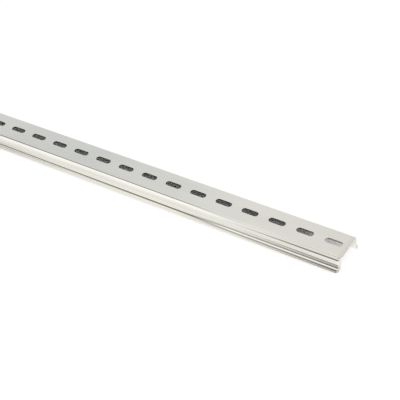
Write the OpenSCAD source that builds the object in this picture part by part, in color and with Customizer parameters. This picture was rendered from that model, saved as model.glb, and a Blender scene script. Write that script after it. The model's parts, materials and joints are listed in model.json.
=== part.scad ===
// Slotted top-hat mounting rail, roll-formed from one steel strip.
// The rail lies along X with its web up and its flanges on z = 0.
// The origin is under the middle of the rail.

/* [Rail] */
// Length of the rail
rail_l = 1000; // [100:1:2000]
// Width over the edges of the flanges
rail_w = 35; // [32:0.1:45]
// Height from the undersides of the flanges to the top of the web
rail_h = 15; // [6:0.1:25]
// Width of the web over the outer faces of the walls
web_w = 27; // [18:0.1:30]

/* [Strip] */
// Thickness of the strip
sheet_t = 1.5; // [0.8:0.1:2.3]
// Inside radius of the bends
bend_r = 1; // [0.4:0.1:2]
// Radius on the outer corners of the flanges, seen from above
corner_r = 3; // [0.5:0.1:3]

/* [Slots] */
// Length of a slot over its round ends
slot_l = 15; // [8:0.1:22]
// Width of a slot
slot_w = 5.2; // [3:0.1:7.5]
// Distance from slot to slot
slot_pitch = 25; // [18:0.5:60]
// Least metal between the last slot and the end of the rail
end_land = 4; // [2:0.5:20]

/* [Hidden] */
// Outside radius of the bends, concentric with the inside one
bend_out_r = bend_r + sheet_t;
// The row holds as many slots as fit between the two end lands
slot_n = floor((rail_l - slot_l - 2 * end_land) / slot_pitch) + 1;
// The flat part of a flange, which is all that a corner radius may take
flange_flat = (rail_w - web_w) / 2 - bend_r;
corner_cut_r = min(corner_r, flange_flat);
// How far a cutting tool reaches past each face of the strip
cut_over = 1;
// Facets of a full circle
$fn = 64;

// A quarter of a bend, seen along the rail, centred on the bend's own axis
module bend(turn) {
    rotate(turn)
        intersection() {
            difference() {
                circle(r = bend_out_r);
                circle(r = bend_r);
            }
            square(bend_out_r);
        }
}

// One half of the section: half the web, a wall, a flange and their bends
module half_section() {
    web_half = web_w / 2 - bend_out_r;
    flange_start = rail_w / 2 - flange_flat;
    translate([0, rail_h - sheet_t])
        square([web_half, sheet_t]);
    translate([web_half, rail_h - bend_out_r])
        bend(0);
    translate([web_w / 2 - sheet_t, bend_out_r])
        square([sheet_t, rail_h - 2 * bend_out_r]);
    translate([flange_start, bend_out_r])
        bend(180);
    translate([flange_start, 0])
        square([flange_flat, sheet_t]);
}

// The bent strip, before its slots are punched
module bent_strip() {
    rotate([90, 0, 90])
        linear_extrude(height = rail_l, center = true) {
            half_section();
            mirror([1, 0])
                half_section();
        }
}

// The punch of one slot: straight sides and true round ends
module slot_punch() {
    straight_l = slot_l - slot_w;
    translate([0, 0, rail_h - sheet_t - cut_over])
        linear_extrude(height = sheet_t + 2 * cut_over) {
            square([straight_l, slot_w], center = true);
            for (side = [-1, 1])
                translate([side * straight_l / 2, 0])
                    circle(d = slot_w);
        }
}

// What is cut off one corner of a flange to round it
module corner_waste() {
    translate([rail_l / 2 - corner_cut_r, rail_w / 2 - corner_cut_r, -cut_over])
        linear_extrude(height = sheet_t + 2 * cut_over)
            difference() {
                square(corner_cut_r + cut_over);
                circle(r = corner_cut_r);
            }
}

module rail() {
    color([0.80, 0.81, 0.80])
        difference() {
            bent_strip();
            for (end = [0, 1], side = [0, 1])
                mirror([end, 0, 0])
                    mirror([0, side, 0])
                        corner_waste();
            for (i = [0 : slot_n - 1])
                translate([(i - (slot_n - 1) / 2) * slot_pitch, 0, 0])
                    slot_punch();
        }
}

rail();
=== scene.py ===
"""Looks of a slotted top-hat mounting rail in bright zinc-plated steel.

The rail is modelled as one fine mesh over the CAD solid: the same section, bends and
slots, with small rounded edges. The set-back ends and the dark lines along the rail are
fitted to the photo: they are one reading of it, and the solid doesn't have them. The dark
lines are painted reflections and shade, in part also real lines left by the rolling. The
zinc's colour also holds painted highlights on the lower walls and flange tips, and painted
shade on the slots' walls, which are in part darker cut metal.
Lengths are in metres. X runs along the rail, Y across it, Z up from the flanges.
"""
import json
import math

import bmesh
import bpy
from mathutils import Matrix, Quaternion, Vector


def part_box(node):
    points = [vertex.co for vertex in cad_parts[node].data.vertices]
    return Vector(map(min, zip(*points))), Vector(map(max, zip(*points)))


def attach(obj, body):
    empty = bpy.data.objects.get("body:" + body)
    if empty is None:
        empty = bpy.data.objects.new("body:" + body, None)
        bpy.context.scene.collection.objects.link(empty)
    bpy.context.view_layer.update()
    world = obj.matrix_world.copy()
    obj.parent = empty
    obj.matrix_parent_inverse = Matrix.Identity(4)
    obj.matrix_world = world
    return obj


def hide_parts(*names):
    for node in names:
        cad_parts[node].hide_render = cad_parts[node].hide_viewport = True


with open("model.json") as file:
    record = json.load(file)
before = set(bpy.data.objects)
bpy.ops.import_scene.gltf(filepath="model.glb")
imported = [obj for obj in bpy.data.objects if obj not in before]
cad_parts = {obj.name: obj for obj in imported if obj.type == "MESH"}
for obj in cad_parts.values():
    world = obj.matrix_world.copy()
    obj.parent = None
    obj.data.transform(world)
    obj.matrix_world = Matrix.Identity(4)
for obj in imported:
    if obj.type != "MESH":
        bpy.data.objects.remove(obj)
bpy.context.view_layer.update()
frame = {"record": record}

MM = 0.001

# ---- Sizes, from the frame and the strip ---------------------------------------------
MOUNTS = {mount["name"]: mount["dims"] for mount in frame["record"]["mounts"]}
LOW, HIGH = (Vector(corner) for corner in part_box("rail"))
RAIL_END = HIGH.x
FLANGE_TIP = HIGH.y
RAIL_TOP = HIGH.z
SHEET = 1.5 * MM
WALL_FACE = 13.5 * MM
BEND_IN = 1.0 * MM
BEND_MID = BEND_IN + SHEET / 2
BEND_OUT = BEND_IN + SHEET

SLOT_LENGTH = MOUNTS["end_slots"]["slot_length_mm"] * MM
SLOT_RADIUS = MOUNTS["end_slots"]["hole_r_mm"] * MM
SLOT_PITCH = MOUNTS["middle_slots"]["spacing_x_mm"] * MM
ROW_LENGTH = MOUNTS["end_slots"]["spacing_x_mm"] * MM
SLOT_COUNT = round(ROW_LENGTH / SLOT_PITCH) + 1

# Radii of the strip's edges and the slots', and how far a slot's rim reaches into the web
STRIP_EDGE = 0.18 * MM
SLOT_EDGE_TOP = 0.08 * MM
SLOT_EDGE_UNDER = 0.05 * MM
SLOT_MARGIN = 0.45 * MM

# The shape of the cut ends. The drag is fitted to the photo, and read as left by the shear
CORNER_RADIUS = 3.0 * MM
ROLL_OVER_LENGTH = 4.0 * MM
ROLL_OVER_DEPTH = 0.28 * MM
END_ZONE = 4.2 * MM
DRAG = 1.4 * MM
DRAG_START = 10.0 * MM
PLAIN_END = RAIL_END - END_ZONE

# How finely the mesh follows the shape
GUARD = 0.15 * MM
FOLD_CLEARANCE = 2.2 * GUARD
CORNER_STEPS = 6
BEND_STEPS = 8
EDGE_STEPS = 3
SLOT_END_STEPS = 16
SLOT_SIDE_STEPS = 8
PATCH_SIDE_STEPS = 8
PATCH_HALF_WIDTH = 5.5 * MM
PATCH_FADE_END = 10.0 * MM

# ---- Camera --------------------------------------------------------------------------
CAMERA_AT = Vector((0.72689, -0.44441, 0.54117))
CAMERA_AIM = Vector((0.36283, 0.00050, 0.0075))
CAMERA_ROLL = math.radians(-9.328)
SENSOR = 36.0
LENS = 84.61


def add_camera():
    data = bpy.data.cameras.new("camera")
    data.sensor_width = SENSOR
    data.lens = LENS
    camera = bpy.data.objects.new("camera", data)
    bpy.context.scene.collection.objects.link(camera)
    camera.location = CAMERA_AT
    camera.rotation_mode = "QUATERNION"
    look = (CAMERA_AIM - CAMERA_AT).to_track_quat("-Z", "Y")
    camera.rotation_quaternion = look @ Quaternion((0, 0, 1), CAMERA_ROLL)
    bpy.context.scene.camera = camera


# ---- Mesh ----------------------------------------------------------------------------
class Skin:
    """Collects faces given by their corners and joins corners at the same place."""

    GRID = 1e-7

    def __init__(self):
        self.mesh = bmesh.new()
        self.corners = {}

    def corner(self, point):
        key = tuple(round(value / self.GRID) for value in point)
        if key not in self.corners:
            self.corners[key] = self.mesh.verts.new(point)
        return self.corners[key]

    def face(self, points, material=0):
        corners = []
        for point in points:
            corner = self.corner(point)
            if corner not in corners:
                corners.append(corner)
        if len(corners) < 3:
            return
        face = self.mesh.faces.new(corners)
        face.smooth = True
        face.material_index = material

    def band(self, first, second, closed=False, material=0):
        """Quads between two rows of points of the same length."""
        count = len(first)
        for i in range(count if closed else count - 1):
            j = (i + 1) % count
            self.face([first[i], first[j], second[j], second[i]], material)

    def finish(self, name, materials):
        bmesh.ops.recalc_face_normals(self.mesh, faces=self.mesh.faces)
        data = bpy.data.meshes.new(name)
        self.mesh.to_mesh(data)
        self.mesh.free()
        for material in materials:
            data.materials.append(material)
        piece = bpy.data.objects.new(name, data)
        bpy.context.scene.collection.objects.link(piece)
        return piece


def half_line(tip):
    """Middle line of half the strip outside the slotted patch, as (y, z, normal y, normal z).

    The flats get a guard point close to each bend, so that their shading stays flat.
    """
    web_bend = (WALL_FACE - BEND_OUT, RAIL_TOP - BEND_OUT)
    foot_bend = (WALL_FACE + BEND_IN, BEND_OUT)
    wall_mid = WALL_FACE - SHEET / 2
    stations = [(y, RAIL_TOP - SHEET / 2, 0.0, 1.0) for y in (PATCH_FADE_END, web_bend[0] - GUARD)]
    for step in range(BEND_STEPS + 1):
        turn = math.pi / 2 * step / BEND_STEPS
        normal = (math.sin(turn), math.cos(turn))
        y, z = web_bend[0] + BEND_MID * normal[0], web_bend[1] + BEND_MID * normal[1]
        stations.append((y, z, *normal))
    stations += [(wall_mid, z, 1.0, 0.0) for z in (web_bend[1] - GUARD, foot_bend[1] + GUARD)]
    for step in range(BEND_STEPS + 1):
        turn = math.pi / 2 * step / BEND_STEPS
        normal = (math.cos(turn), math.sin(turn))
        y, z = foot_bend[0] - BEND_MID * normal[0], foot_bend[1] - BEND_MID * normal[1]
        stations.append((y, z, *normal))
    flange_ys = (foot_bend[0] + GUARD, tip - STRIP_EDGE - GUARD, tip - STRIP_EDGE)
    return stations + [(y, SHEET / 2, 0.0, 1.0) for y in flange_ys]


def half_section(inset=0.0, droop=0.0, tip=FLANGE_TIP):
    """Outline of half the strip, from the web's top face round the tip to its underside.

    The inset shrinks it evenly, and the droop lowers its outer face only.
    """
    line = half_line(tip)
    reach = SHEET / 2 - inset
    outer = [(y + ny * (reach - droop), z + nz * (reach - droop)) for y, z, ny, nz in line]
    under = [(y - ny * reach, z - nz * reach) for y, z, ny, nz in line]
    radius = STRIP_EDGE - inset
    edge = []
    for centre_z, start in ((SHEET - STRIP_EDGE - droop, math.pi / 2), (STRIP_EDGE, 0.0)):
        for step in range(EDGE_STEPS + 1):
            turn = start - math.pi / 2 * step / EDGE_STEPS
            y = tip - STRIP_EDGE + radius * math.cos(turn)
            edge.append((y, centre_z + radius * math.sin(turn)))
    return outer[:-1] + edge + under[-2::-1]


def at(x, outline, side):
    return [Vector((x, side * y, z)) for y, z in outline]


def patch_ys():
    steps = range(PATCH_SIDE_STEPS + 1)
    return [PATCH_HALF_WIDTH * (2 * step / PATCH_SIDE_STEPS - 1) for step in steps]


def fade_rows():
    """Across-rail places of the rows in which the patch's mesh thins out to one face a slot."""
    rows = int(math.log2(2 * (SLOT_END_STEPS // 4) + SLOT_SIDE_STEPS))
    step = (PATCH_FADE_END - PATCH_HALF_WIDTH) / rows
    return [PATCH_HALF_WIDTH + step * row for row in range(rows + 1)]


def web_ys():
    """All places across the web's flat middle at which an end of the rail has a corner."""
    fade = fade_rows()
    return [-y for y in reversed(fade[1:])] + patch_ys() + fade[1:]


def add_sides(skin):
    """Bends, walls and flanges, swept along the rail on both sides."""
    joints = [ROW_LENGTH / 2 - SLOT_PITCH * (i + 0.5) for i in range(SLOT_COUNT - 1)]
    places = [PLAIN_END] + joints + [-PLAIN_END]
    outline = half_section()
    for side in (-1, 1):
        for start, stop in zip(places, places[1:]):
            skin.band(at(start, outline, side), at(stop, outline, side))


def end_stations():
    """Distance to the rail's end, inset and droop of each row of the mesh near that end."""
    spans = [END_ZONE, ROLL_OVER_LENGTH]
    for step in range(CORNER_STEPS):
        spans.append(CORNER_RADIUS * (1 - math.sin(math.pi / 2 * step / CORNER_STEPS)))
    for span in spans:
        if span > STRIP_EDGE + GUARD:
            yield span, 0.0, roll_over(span)
    yield STRIP_EDGE + GUARD, 0.0, roll_over(STRIP_EDGE + GUARD)
    for step in range(EDGE_STEPS + 1):
        turn = math.pi / 2 * step / EDGE_STEPS
        span, inset = STRIP_EDGE * (1 - math.sin(turn)), STRIP_EDGE * (1 - math.cos(turn))
        yield span, inset, roll_over(STRIP_EDGE)


def roll_over(span):
    """How far the outer face is drawn down, at a distance from the end."""
    return ROLL_OVER_DEPTH * max(0.0, 1 - span / ROLL_OVER_LENGTH) ** 2


def drag(reach):
    """How far the cut edge is set back, at a distance from the rail's middle line.

    One wall and flange of each end have it: the front ones at +X, as in the photo, and the
    rear ones at -X. On the other side reach is negative, and there is none.
    """
    share = min(max((reach - DRAG_START) / (WALL_FACE - DRAG_START), 0.0), 1.0)
    return DRAG * share * share * (3 - 2 * share)


def corner_tip(span):
    """Reach of the flange at a distance from the end, inside its rounded corner.

    It stays clear of the bend at the flange's foot, so the section never folds over itself.
    """
    if span >= CORNER_RADIUS:
        return FLANGE_TIP
    depth = math.sqrt(CORNER_RADIUS ** 2 - (CORNER_RADIUS - span) ** 2)
    arc = FLANGE_TIP - CORNER_RADIUS + depth
    return max(arc, WALL_FACE + BEND_IN + STRIP_EDGE + FOLD_CLEARANCE)


def add_ends(skin):
    """The cut ends: outer face drawn down, one side set back, small rounded edge all round."""
    for way in (-1, 1):
        rows = []
        for span, inset, droop in end_stations():
            web = [(y, RAIL_TOP - inset - droop) for y in web_ys()]
            under = [(y, RAIL_TOP - SHEET + inset) for y in web_ys()]
            half = half_section(inset, droop, corner_tip(span))
            loop = at(0.0, reversed(half), -1) + at(0.0, web[1:-1], 1) + at(0.0, half, 1)
            loop += at(0.0, reversed(under[1:-1]), 1)
            for point in loop:
                back = drag(-way * point.y) * (1 - span / END_ZONE)
                point.x = way * (RAIL_END - span - back)
            rows.append(loop)
        rounded = len(rows) - EDGE_STEPS - 1
        for i, (first, second) in enumerate(zip(rows, rows[1:])):
            skin.band(first, second, closed=True, material=0 if i < rounded else 1)
        add_end_face(skin, rows[-1])


def add_end_face(skin, loop):
    """Quads across the strip's thickness, between the outer and the under face."""
    half = len(half_section())
    tip = 2 * (EDGE_STEPS + 1)
    flank = (half - tip) // 2
    web = len(web_ys()) - 2
    near_outer = loop[flank + tip:half]
    near_under = loop[:flank][::-1]
    outer = near_outer + loop[half:half + web] + loop[half + web:half + web + flank]
    far_under = loop[half + web + flank + tip:half + web + half][::-1]
    under = near_under + loop[half + web + half:][::-1] + far_under
    near_tip = loop[flank:flank + tip]
    far_tip = loop[half + web + flank:half + web + flank + tip]
    skin.face([under[0], *near_tip, outer[0]], material=1)
    skin.band(outer, under, material=1)
    skin.face([outer[-1], *far_tip, under[-1]], material=1)


def slot_outline(centre, grow, z):
    """Points round a slot, widened by grow: right end, far side, left end, near side."""
    radius = SLOT_RADIUS + grow
    half_side = SLOT_LENGTH / 2 - SLOT_RADIUS
    points = []
    for way in (1, -1):
        for step in range(SLOT_END_STEPS + 1):
            turn = math.pi * (step / SLOT_END_STEPS - 0.5)
            x = centre + way * (half_side + radius * math.cos(turn))
            points.append(Vector((x, way * radius * math.sin(turn), z)))
        for step in range(1, SLOT_SIDE_STEPS):
            x = centre + way * half_side * (1 - 2 * step / SLOT_SIDE_STEPS)
            points.append(Vector((x, way * radius, z)))
    return points


def patch_outline(centre, low_x, high_x, z):
    """Points round the rectangular patch about a slot, in the order of the slot's own."""
    half_side = SLOT_LENGTH / 2 - SLOT_RADIUS
    corner_steps = SLOT_END_STEPS // 4
    points = []
    for way, edge in ((1, high_x), (-1, low_x)):
        side_end = centre + way * half_side
        for step in range(corner_steps):
            x = side_end + (edge - side_end) * step / corner_steps
            points.append(Vector((x, -way * PATCH_HALF_WIDTH, z)))
        for y in patch_ys():
            points.append(Vector((edge, way * y, z)))
        for step in reversed(range(corner_steps)):
            x = side_end + (edge - side_end) * step / corner_steps
            points.append(Vector((x, way * PATCH_HALF_WIDTH, z)))
        for step in range(1, SLOT_SIDE_STEPS):
            x = centre + way * half_side * (1 - 2 * step / SLOT_SIDE_STEPS)
            points.append(Vector((x, way * PATCH_HALF_WIDTH, z)))
    return points


def slot_rows():
    """How far each row of a slot's wall stands out from the slot, and its height."""
    rows = [(SLOT_MARGIN, RAIL_TOP)]
    for step in range(EDGE_STEPS + 2):
        turn = math.pi / 2 * step / (EDGE_STEPS + 1)
        top = RAIL_TOP - SLOT_EDGE_TOP * (1 - math.cos(turn))
        rows.append((SLOT_EDGE_TOP * (1 - math.sin(turn)), top))
    bottom = RAIL_TOP - SHEET
    for step in range(EDGE_STEPS + 1):
        turn = math.pi / 2 * step / EDGE_STEPS
        low = bottom + SLOT_EDGE_UNDER * (1 - math.sin(turn))
        rows.append((SLOT_EDGE_UNDER * (1 - math.cos(turn)), low))
    rows.append((SLOT_MARGIN, bottom))
    return rows


def add_fade(skin, xs, side, z):
    """Faces from the fine edge of a patch out to the plain web, halving at each row."""
    rows = fade_rows()
    for low_y, high_y in zip(rows, rows[1:]):
        thinned = xs[::2]
        for i, (start, stop) in enumerate(zip(thinned, thinned[1:])):
            fine = [Vector((x, side * low_y, z)) for x in xs[2 * i:2 * i + 3]]
            skin.face(fine + [Vector((stop, side * high_y, z)), Vector((start, side * high_y, z))])
        xs = thinned


def add_slots(skin):
    """The flat middle of the web, one patch for each slot."""
    for i in range(SLOT_COUNT):
        centre = SLOT_PITCH * i - ROW_LENGTH / 2
        low_x = max(centre - SLOT_PITCH / 2, -PLAIN_END)
        high_x = min(centre + SLOT_PITCH / 2, PLAIN_END)
        outlines = [patch_outline(centre, low_x, high_x, RAIL_TOP)]
        outlines += [slot_outline(centre, grow, z) for grow, z in slot_rows()]
        outlines.append(patch_outline(centre, low_x, high_x, RAIL_TOP - SHEET))
        for first, second in zip(outlines, outlines[1:]):
            skin.band(first, second, closed=True)
        for z in (RAIL_TOP, RAIL_TOP - SHEET):
            edge = sorted({round(p.x, 9) for p in patch_outline(centre, low_x, high_x, z)
                           if p.y > PATCH_HALF_WIDTH * 0.999})
            for side in (-1, 1):
                add_fade(skin, edge, side, z)


# ---- Materials -----------------------------------------------------------------------
class Nodes:
    """A short way to add and join shader nodes."""

    def __init__(self, tree):
        self.tree = tree
        tree.nodes.clear()

    def add(self, kind, **settings):
        node = self.tree.nodes.new(kind)
        for name, value in settings.items():
            setattr(node, name, value)
        return node

    def join(self, source, target):
        self.tree.links.new(source, target)

    def stretched(self, coordinates, scale):
        mapping = self.add("ShaderNodeMapping")
        mapping.inputs["Scale"].default_value = scale
        self.join(coordinates, mapping.inputs["Vector"])
        return mapping.outputs["Vector"]

    def noise(self, vector, scale, detail=3.0, roughness=0.55):
        node = self.add("ShaderNodeTexNoise")
        node.inputs["Scale"].default_value = scale
        node.inputs["Detail"].default_value = detail
        node.inputs["Roughness"].default_value = roughness
        self.join(vector, node.inputs["Vector"])
        return node.outputs["Fac"]

    def ramp(self, value, stops):
        node = self.add("ShaderNodeValToRGB")
        elements = node.color_ramp.elements
        while len(elements) < len(stops):
            elements.new(0.5)
        for element, (place, colour) in zip(elements, stops):
            element.position = place
            element.color = (*colour, 1.0)
        self.join(value, node.inputs["Fac"])
        return node.outputs["Color"]

    def span(self, value, low, high):
        """Spreads a 0 to 1 value over low to high."""
        node = self.add("ShaderNodeMapRange")
        node.inputs["To Min"].default_value = low
        node.inputs["To Max"].default_value = high
        self.join(value, node.inputs["Value"])
        return node.outputs["Result"]

    def mix_colour(self, factor, first, second, blend="MIX"):
        node = self.add("ShaderNodeMix", data_type="RGBA", blend_type=blend)
        sockets = (node.inputs[0], node.inputs[6], node.inputs[7])
        for socket, value in zip(sockets, (factor, first, second)):
            if isinstance(value, (int, float)):
                socket.default_value = value
            elif isinstance(value, tuple):
                socket.default_value = (*value, 1.0)
            else:
                self.join(value, socket)
        return node.outputs[2]

    def maths(self, operation, first, second):
        node = self.add("ShaderNodeMath", operation=operation)
        for socket, value in zip(node.inputs, (first, second)):
            if isinstance(value, (int, float)):
                socket.default_value = value
            else:
                self.join(value, socket)
        return node.outputs[0]


def soft_step(nodes, value, low, high):
    """0 below low, 1 above high and smooth between; low may be the larger of the two."""
    node = nodes.add("ShaderNodeMapRange", interpolation_type="SMOOTHSTEP")
    node.inputs["From Min"].default_value = low
    node.inputs["From Max"].default_value = high
    nodes.join(value, node.inputs["Value"])
    return node.outputs["Result"]


def window(nodes, value, low, high, edge):
    """1 where the value lies between low and high, fading over edge on both sides."""
    rise = soft_step(nodes, value, low - edge, low + edge)
    fall = soft_step(nodes, value, high + edge, high - edge)
    return nodes.maths("MULTIPLY", rise, fall)


def metal(name):
    """A material of bare metal, with its nodes, its object coordinates and its shader."""
    material = bpy.data.materials.new(name)
    material.use_nodes = True
    nodes = Nodes(material.node_tree)
    place = nodes.add("ShaderNodeTexCoord").outputs["Object"]
    shader = nodes.add("ShaderNodeBsdfPrincipled")
    output = nodes.add("ShaderNodeOutputMaterial")
    nodes.join(shader.outputs["BSDF"], output.inputs["Surface"])
    shader.inputs["Metallic"].default_value = 1.0
    return material, nodes, place, shader


def add_bump(nodes, shader, height, strength, distance):
    bump = nodes.add("ShaderNodeBump")
    bump.inputs["Strength"].default_value = strength
    bump.inputs["Distance"].default_value = distance
    nodes.join(height, bump.inputs["Height"])
    nodes.join(bump.outputs["Normal"], shader.inputs["Normal"])


# Scales of the noise along the rail, across it and up
CLOUD_SCALE = (22.0, 60.0, 60.0)
LINES_SCALE = (18.0, 2600.0, 2600.0)
GRAIN_SCALE = (400.0, 2500.0, 900.0)

CLOUD_TINTS = [(0.30, (0.845, 0.84, 0.82)), (0.50, (0.88, 0.87, 0.84)), (0.70, (0.89, 0.89, 0.875))]
LINE_TINT = (0.62, 0.62, 0.61)
GRAIN_TINTS = [(0.3, (0.64, 0.63, 0.61)), (0.7, (0.84, 0.83, 0.80))]
# Painted highlight: brighter zinc on the lower walls and the flanges' tips
PAINTED_HIGHLIGHT = (0.98, 0.975, 0.955)
# Painted shade on the slots' walls, over their darker bare cut metal
PUNCHED_EDGE_AND_SHADE = (0.45, 0.44, 0.42)
# Painted dark reflections and shade along the bends and flanges
DARK_LINE = (0.20, 0.19, 0.15)


def zinc_material():
    """Bright zinc: cloudy, faintly tinted, finely lined along the rail, with painted reflections
    and shade.
    """
    material, nodes, place, shader = metal("zinc_plating")
    cloud = nodes.noise(nodes.stretched(place, CLOUD_SCALE), 1.0)
    lines = nodes.noise(nodes.stretched(place, LINES_SCALE), 1.0, detail=4.0)
    tint = nodes.ramp(cloud, CLOUD_TINTS)
    colour = nodes.mix_colour(nodes.span(lines, 0.0, 0.10), tint, LINE_TINT)
    painted_dark_lines, painted_highlight, punched_edge_and_shade = painted_light_masks(nodes, place)
    # Paints the highlight on the lower walls and the flanges' tips
    colour = nodes.mix_colour(painted_highlight, colour, PAINTED_HIGHLIGHT)
    # Paints shade on the slots' walls, which are also darker bare cut metal
    colour = nodes.mix_colour(punched_edge_and_shade, colour, PUNCHED_EDGE_AND_SHADE)
    # Paints the dark lines: painted reflections and shade along the rail
    colour = nodes.mix_colour(painted_dark_lines, colour, DARK_LINE)
    nodes.join(colour, shader.inputs["Base Color"])
    rough = nodes.maths("ADD", nodes.span(cloud, 0.11, 0.16), nodes.span(lines, 0.0, 0.05))
    nodes.join(rough, shader.inputs["Roughness"])
    add_bump(nodes, shader, lines, 0.08, 0.02 * MM)
    return material


# Painted dark reflections and shade along the rail, in part also real lines left by the
# rolling: low side, high side and softness, by height or by reach. They are placed to match
# the photo, where they are probably partly reflections.
SHOULDER_LINE = (13.85 * MM, 14.48 * MM, 0.12 * MM)
BEND_FACE = (12.90 * MM, 14.35 * MM, 0.25 * MM)
CREASE_LINE = (10.05 * MM, 11.85 * MM, 0.25 * MM)
WALL_LINE = (5.80 * MM, 6.50 * MM, 0.15 * MM)
FOOT_LINE = (1.42 * MM, 2.60 * MM, 0.10 * MM)
FLANGE_LINE = (14.40 * MM, 15.60 * MM, 0.20 * MM)
FLANGE_FACE = (15.00 * MM, 17.20 * MM, 0.15 * MM)

LOWER_WALL = (2.6 * MM, 6.2 * MM, 0.4 * MM)
SLOT_WALL = (RAIL_TOP - SHEET + 0.15 * MM, RAIL_TOP - 0.15 * MM, 0.05 * MM)
FLANGE_TOP = (SHEET - 0.05 * MM, SHEET + 0.05 * MM, 0.02 * MM)


def painted_light_masks(nodes, place):
    """Masks from 0 to 1: the painted dark reflections and shade, the painted highlights, and the
    slots' walls with painted shade.
    """
    axes = nodes.add("ShaderNodeSeparateXYZ")
    nodes.join(place, axes.inputs["Vector"])
    x, y, z = axes.outputs
    reach = nodes.maths("ABSOLUTE", y, 0.0)
    outside = soft_step(nodes, reach, WALL_FACE - 0.3 * MM, WALL_FACE - 0.1 * MM)
    on_flange = window(nodes, z, *FLANGE_TOP)
    above = soft_step(nodes, z, SHEET + 0.02 * MM, SHEET + 0.10 * MM)
    above_flange = nodes.maths("MULTIPLY", outside, above)
    lines = []
    # Each row has the axis it is measured on, the line, the x at which it is gone and the x
    # at which it is full, its rise per metre of rail, the mask that holds it, and its strength.
    for across, line, gone, full, rise, where, strength in (
            (z, SHOULDER_LINE, 0.45, 0.34, 0.0, 1.0, 0.92),
            (z, BEND_FACE, 0.35, 0.41, 0.0, 1.0, 0.37),
            (z, CREASE_LINE, 0.37, 0.485, 0.0068, outside, 1.0),
            (z, WALL_LINE, 0.40, 0.47, 0.0, outside, 1.0),
            (z, FOOT_LINE, 0.405, 0.36, -0.0022, above_flange, 1.0),
            (reach, FLANGE_LINE, 0.34, 0.395, 0.0, on_flange, 0.70),
            (reach, FLANGE_LINE, 0.43, 0.49, 0.0, on_flange, 0.90),
            (reach, FLANGE_FACE, 0.46, 0.36, 0.0, on_flange, 0.21)):
        if rise:
            drift = nodes.maths("MULTIPLY", nodes.maths("SUBTRACT", x, gone), rise)
            across = nodes.maths("SUBTRACT", across, drift)
        shown = soft_step(nodes, x, gone, full)
        mask = nodes.maths("MULTIPLY", window(nodes, across, *line), shown)
        lines.append(nodes.maths("MULTIPLY", nodes.maths("MULTIPLY", mask, where), strength))
    # All painted dark reflections and shade, joined
    painted_dark_lines = lines[0]
    for mask in lines[1:]:
        painted_dark_lines = nodes.maths("MAXIMUM", painted_dark_lines, mask)
    # Where the highlight is painted: the lower walls and the flanges' tips
    lower_wall = nodes.maths("MULTIPLY", window(nodes, z, *LOWER_WALL), outside)
    strip_edge = soft_step(nodes, reach, FLANGE_TIP - 0.25 * MM, FLANGE_TIP - 0.1 * MM)
    painted_highlight = nodes.maths("MAXIMUM", lower_wall, strip_edge)
    # The slots' walls, away from the rail's ends, get painted shade over darker bare metal
    inward = nodes.maths("SUBTRACT", RAIL_END, nodes.maths("ABSOLUTE", x, 0.0))
    near_slots = nodes.maths("MULTIPLY", soft_step(nodes, reach, 8 * MM, 6 * MM),
                             soft_step(nodes, inward, 4.4 * MM, 4.8 * MM))
    punched_edge_and_shade = window(nodes, z, *SLOT_WALL)
    return painted_dark_lines, painted_highlight, nodes.maths("MULTIPLY", punched_edge_and_shade, near_slots)


def cut_material():
    """The grainy metal of the cut ends."""
    material, nodes, place, shader = metal("cut_edge")
    grain = nodes.noise(nodes.stretched(place, GRAIN_SCALE), 1.0, detail=4.0)
    nodes.join(nodes.ramp(grain, GRAIN_TINTS), shader.inputs["Base Color"])
    nodes.join(nodes.span(grain, 0.35, 0.55), shader.inputs["Roughness"])
    add_bump(nodes, shader, grain, 0.4, 0.05 * MM)
    return material


def add_rail():
    skin = Skin()
    add_sides(skin)
    add_slots(skin)
    add_ends(skin)
    piece = skin.finish("zinc_rail", [zinc_material(), cut_material()])
    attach(piece, "root")
    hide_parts("rail")


# ---- Stage and light -----------------------------------------------------------------
FLOOR_HALF = 6.0
FLOOR_GLOW = 0.90
# How much of the glow is let in under the rail near its open ends, as painted light
LET_IN = 0.22
PAPER = (0.75, 0.75, 0.75)
PAPER_SEEN = (1.25, 1.25, 1.25)
GLOW_SEEN = (1.04, 1.04, 1.04)
# The floor as reflections see it: painted shadow next to the flanges, brighter away from them
MIRRORED_PAINTED_SHADOW = (0.91, 0.90, 0.86)
MIRRORED_AWAY = (1.15, 1.14, 1.09)


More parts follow.
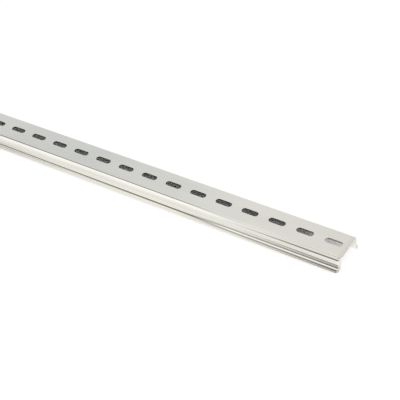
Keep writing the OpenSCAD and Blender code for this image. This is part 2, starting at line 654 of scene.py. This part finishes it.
def add_floor():
    """A white floor that glows to the camera and in reflections, but not under the rail; painted
    light near its open ends.
    """
    data = bpy.data.meshes.new("floor")
    signs = ((-1, -1), (1, -1), (1, 1), (-1, 1))
    corners = [(FLOOR_HALF * x, FLOOR_HALF * y, LOW.z) for x, y in signs]
    data.from_pydata(corners, [], [(0, 1, 2, 3)])
    floor = bpy.data.objects.new("floor", data)
    bpy.context.scene.collection.objects.link(floor)
    material = bpy.data.materials.new("white_floor")
    material.use_nodes = True
    nodes = Nodes(material.node_tree)
    rays = nodes.add("ShaderNodeLightPath")
    seen = nodes.maths("MAXIMUM", rays.outputs["Is Camera Ray"], rays.outputs["Is Glossy Ray"])
    axes = nodes.add("ShaderNodeSeparateXYZ")
    nodes.join(nodes.add("ShaderNodeTexCoord").outputs["Object"], axes.inputs["Vector"])
    across = nodes.maths("SUBTRACT", nodes.maths("ABSOLUTE", axes.outputs["Y"], 0.0), FLANGE_TIP)
    along = nodes.maths("SUBTRACT", nodes.maths("ABSOLUTE", axes.outputs["X"], 0.0), RAIL_END)
    # Painted light: the floor glows under the rail near its open ends
    open_end = soft_step(nodes, along, -18 * MM, -1 * MM)
    let_in = nodes.maths("MULTIPLY", soft_step(nodes, along, -46 * MM, -30 * MM), LET_IN)
    clear = nodes.maths("MAXIMUM", soft_step(nodes, across, -0.5 * MM, 0.5 * MM), open_end)
    clear = nodes.maths("MAXIMUM", clear, let_in)
    paper = nodes.add("ShaderNodeBsdfDiffuse")
    nodes.join(nodes.mix_colour(seen, PAPER, PAPER_SEEN), paper.inputs["Color"])
    # In reflections the floor next to the flanges gets a painted shadow
    away = nodes.maths("MAXIMUM", soft_step(nodes, across, 3.6 * MM, 6.0 * MM),
                       soft_step(nodes, along, -8 * MM, -1 * MM))
    mirrored = nodes.mix_colour(away, MIRRORED_PAINTED_SHADOW, MIRRORED_AWAY)
    glow = nodes.add("ShaderNodeEmission")
    colour = nodes.mix_colour(rays.outputs["Is Glossy Ray"], GLOW_SEEN, mirrored)
    nodes.join(colour, glow.inputs["Color"])
    mixed = nodes.add("ShaderNodeMixShader")
    share = nodes.maths("MULTIPLY", nodes.maths("MULTIPLY", clear, seen), FLOOR_GLOW)
    nodes.join(share, mixed.inputs[0])
    nodes.join(paper.outputs["BSDF"], mixed.inputs[1])
    nodes.join(glow.outputs["Emission"], mixed.inputs[2])
    output = nodes.add("ShaderNodeOutputMaterial")
    nodes.join(mixed.outputs["Shader"], output.inputs["Surface"])
    data.materials.append(material)


# What the metal reflects, by the direction it looks in
BACKDROP = [(0.0, (0.61, 0.645, 0.66)), (0.55, (0.835, 0.825, 0.79)), (1.0, (0.75, 0.74, 0.71))]
BACKDROP_LIFT = (0.88, 0.87, 0.84)
FRONT_LEFT = (1.24, 1.23, 1.18)
FRONT_RIGHT = (1.08, 1.07, 1.04)
FRONT_STRAIGHT = (1.24, 1.23, 1.19)
BELOW = (0.60, 0.60, 0.58)
CARD = (0.33, 0.33, 0.305)
WHITE = (1.0, 1.0, 1.0)
SURROUND = [(0.0, (0.86, 0.85, 0.825)), (0.5, (0.77, 0.765, 0.74)), (1.0, (0.66, 0.66, 0.645))]


def add_world():
    """A white studio: bright in front, grayer behind and beside, with one dark card in front."""
    world = bpy.data.worlds.new("studio")
    world.use_nodes = True
    bpy.context.scene.world = world
    nodes = Nodes(world.node_tree)
    toward = nodes.add("ShaderNodeSeparateXYZ")
    nodes.join(nodes.add("ShaderNodeTexCoord").outputs["Generated"], toward.inputs["Vector"])
    x, y, z = toward.outputs
    behind = soft_step(nodes, y, -0.50, -0.38)
    backdrop = nodes.ramp(soft_step(nodes, x, -0.75, -0.10), BACKDROP)
    front = nodes.mix_colour(soft_step(nodes, x, -0.46, -0.40), FRONT_LEFT, FRONT_RIGHT)
    front = nodes.mix_colour(soft_step(nodes, y, -0.64, -0.72), front, FRONT_STRAIGHT)
    lift = nodes.maths("MULTIPLY", soft_step(nodes, y, 0.35, 0.0),
                       soft_step(nodes, x, -0.42, -0.34))
    backdrop = nodes.mix_colour(lift, backdrop, BACKDROP_LIFT)
    sky = nodes.mix_colour(behind, front, backdrop)
    beside = nodes.maths("MAXIMUM", soft_step(nodes, x, -0.22, -0.06),
                         soft_step(nodes, x, -0.605, -0.665))
    sky = nodes.mix_colour(beside, sky, nodes.ramp(z, SURROUND))
    sky = nodes.mix_colour(soft_step(nodes, z, 0.02, -0.04), sky, BELOW)
    card = nodes.maths("MULTIPLY", window(nodes, y, -0.69, -0.48, 0.05),
                       soft_step(nodes, x, -0.44, -0.31))
    card = nodes.maths("MULTIPLY", card, soft_step(nodes, x, -0.05, -0.20))
    card = nodes.maths("MULTIPLY", card, soft_step(nodes, z, 0.2, 0.4))
    sky = nodes.mix_colour(card, sky, CARD)
    rays = nodes.add("ShaderNodeLightPath")
    sky = nodes.mix_colour(rays.outputs["Is Camera Ray"], sky, WHITE)
    studio = nodes.add("ShaderNodeBackground")
    nodes.join(sky, studio.inputs["Color"])
    output = nodes.add("ShaderNodeOutputWorld")
    nodes.join(studio.outputs["Background"], output.inputs["Surface"])


add_camera()
add_world()
add_floor()
add_rail()

bpy.context.scene.view_settings.view_transform = "Standard"
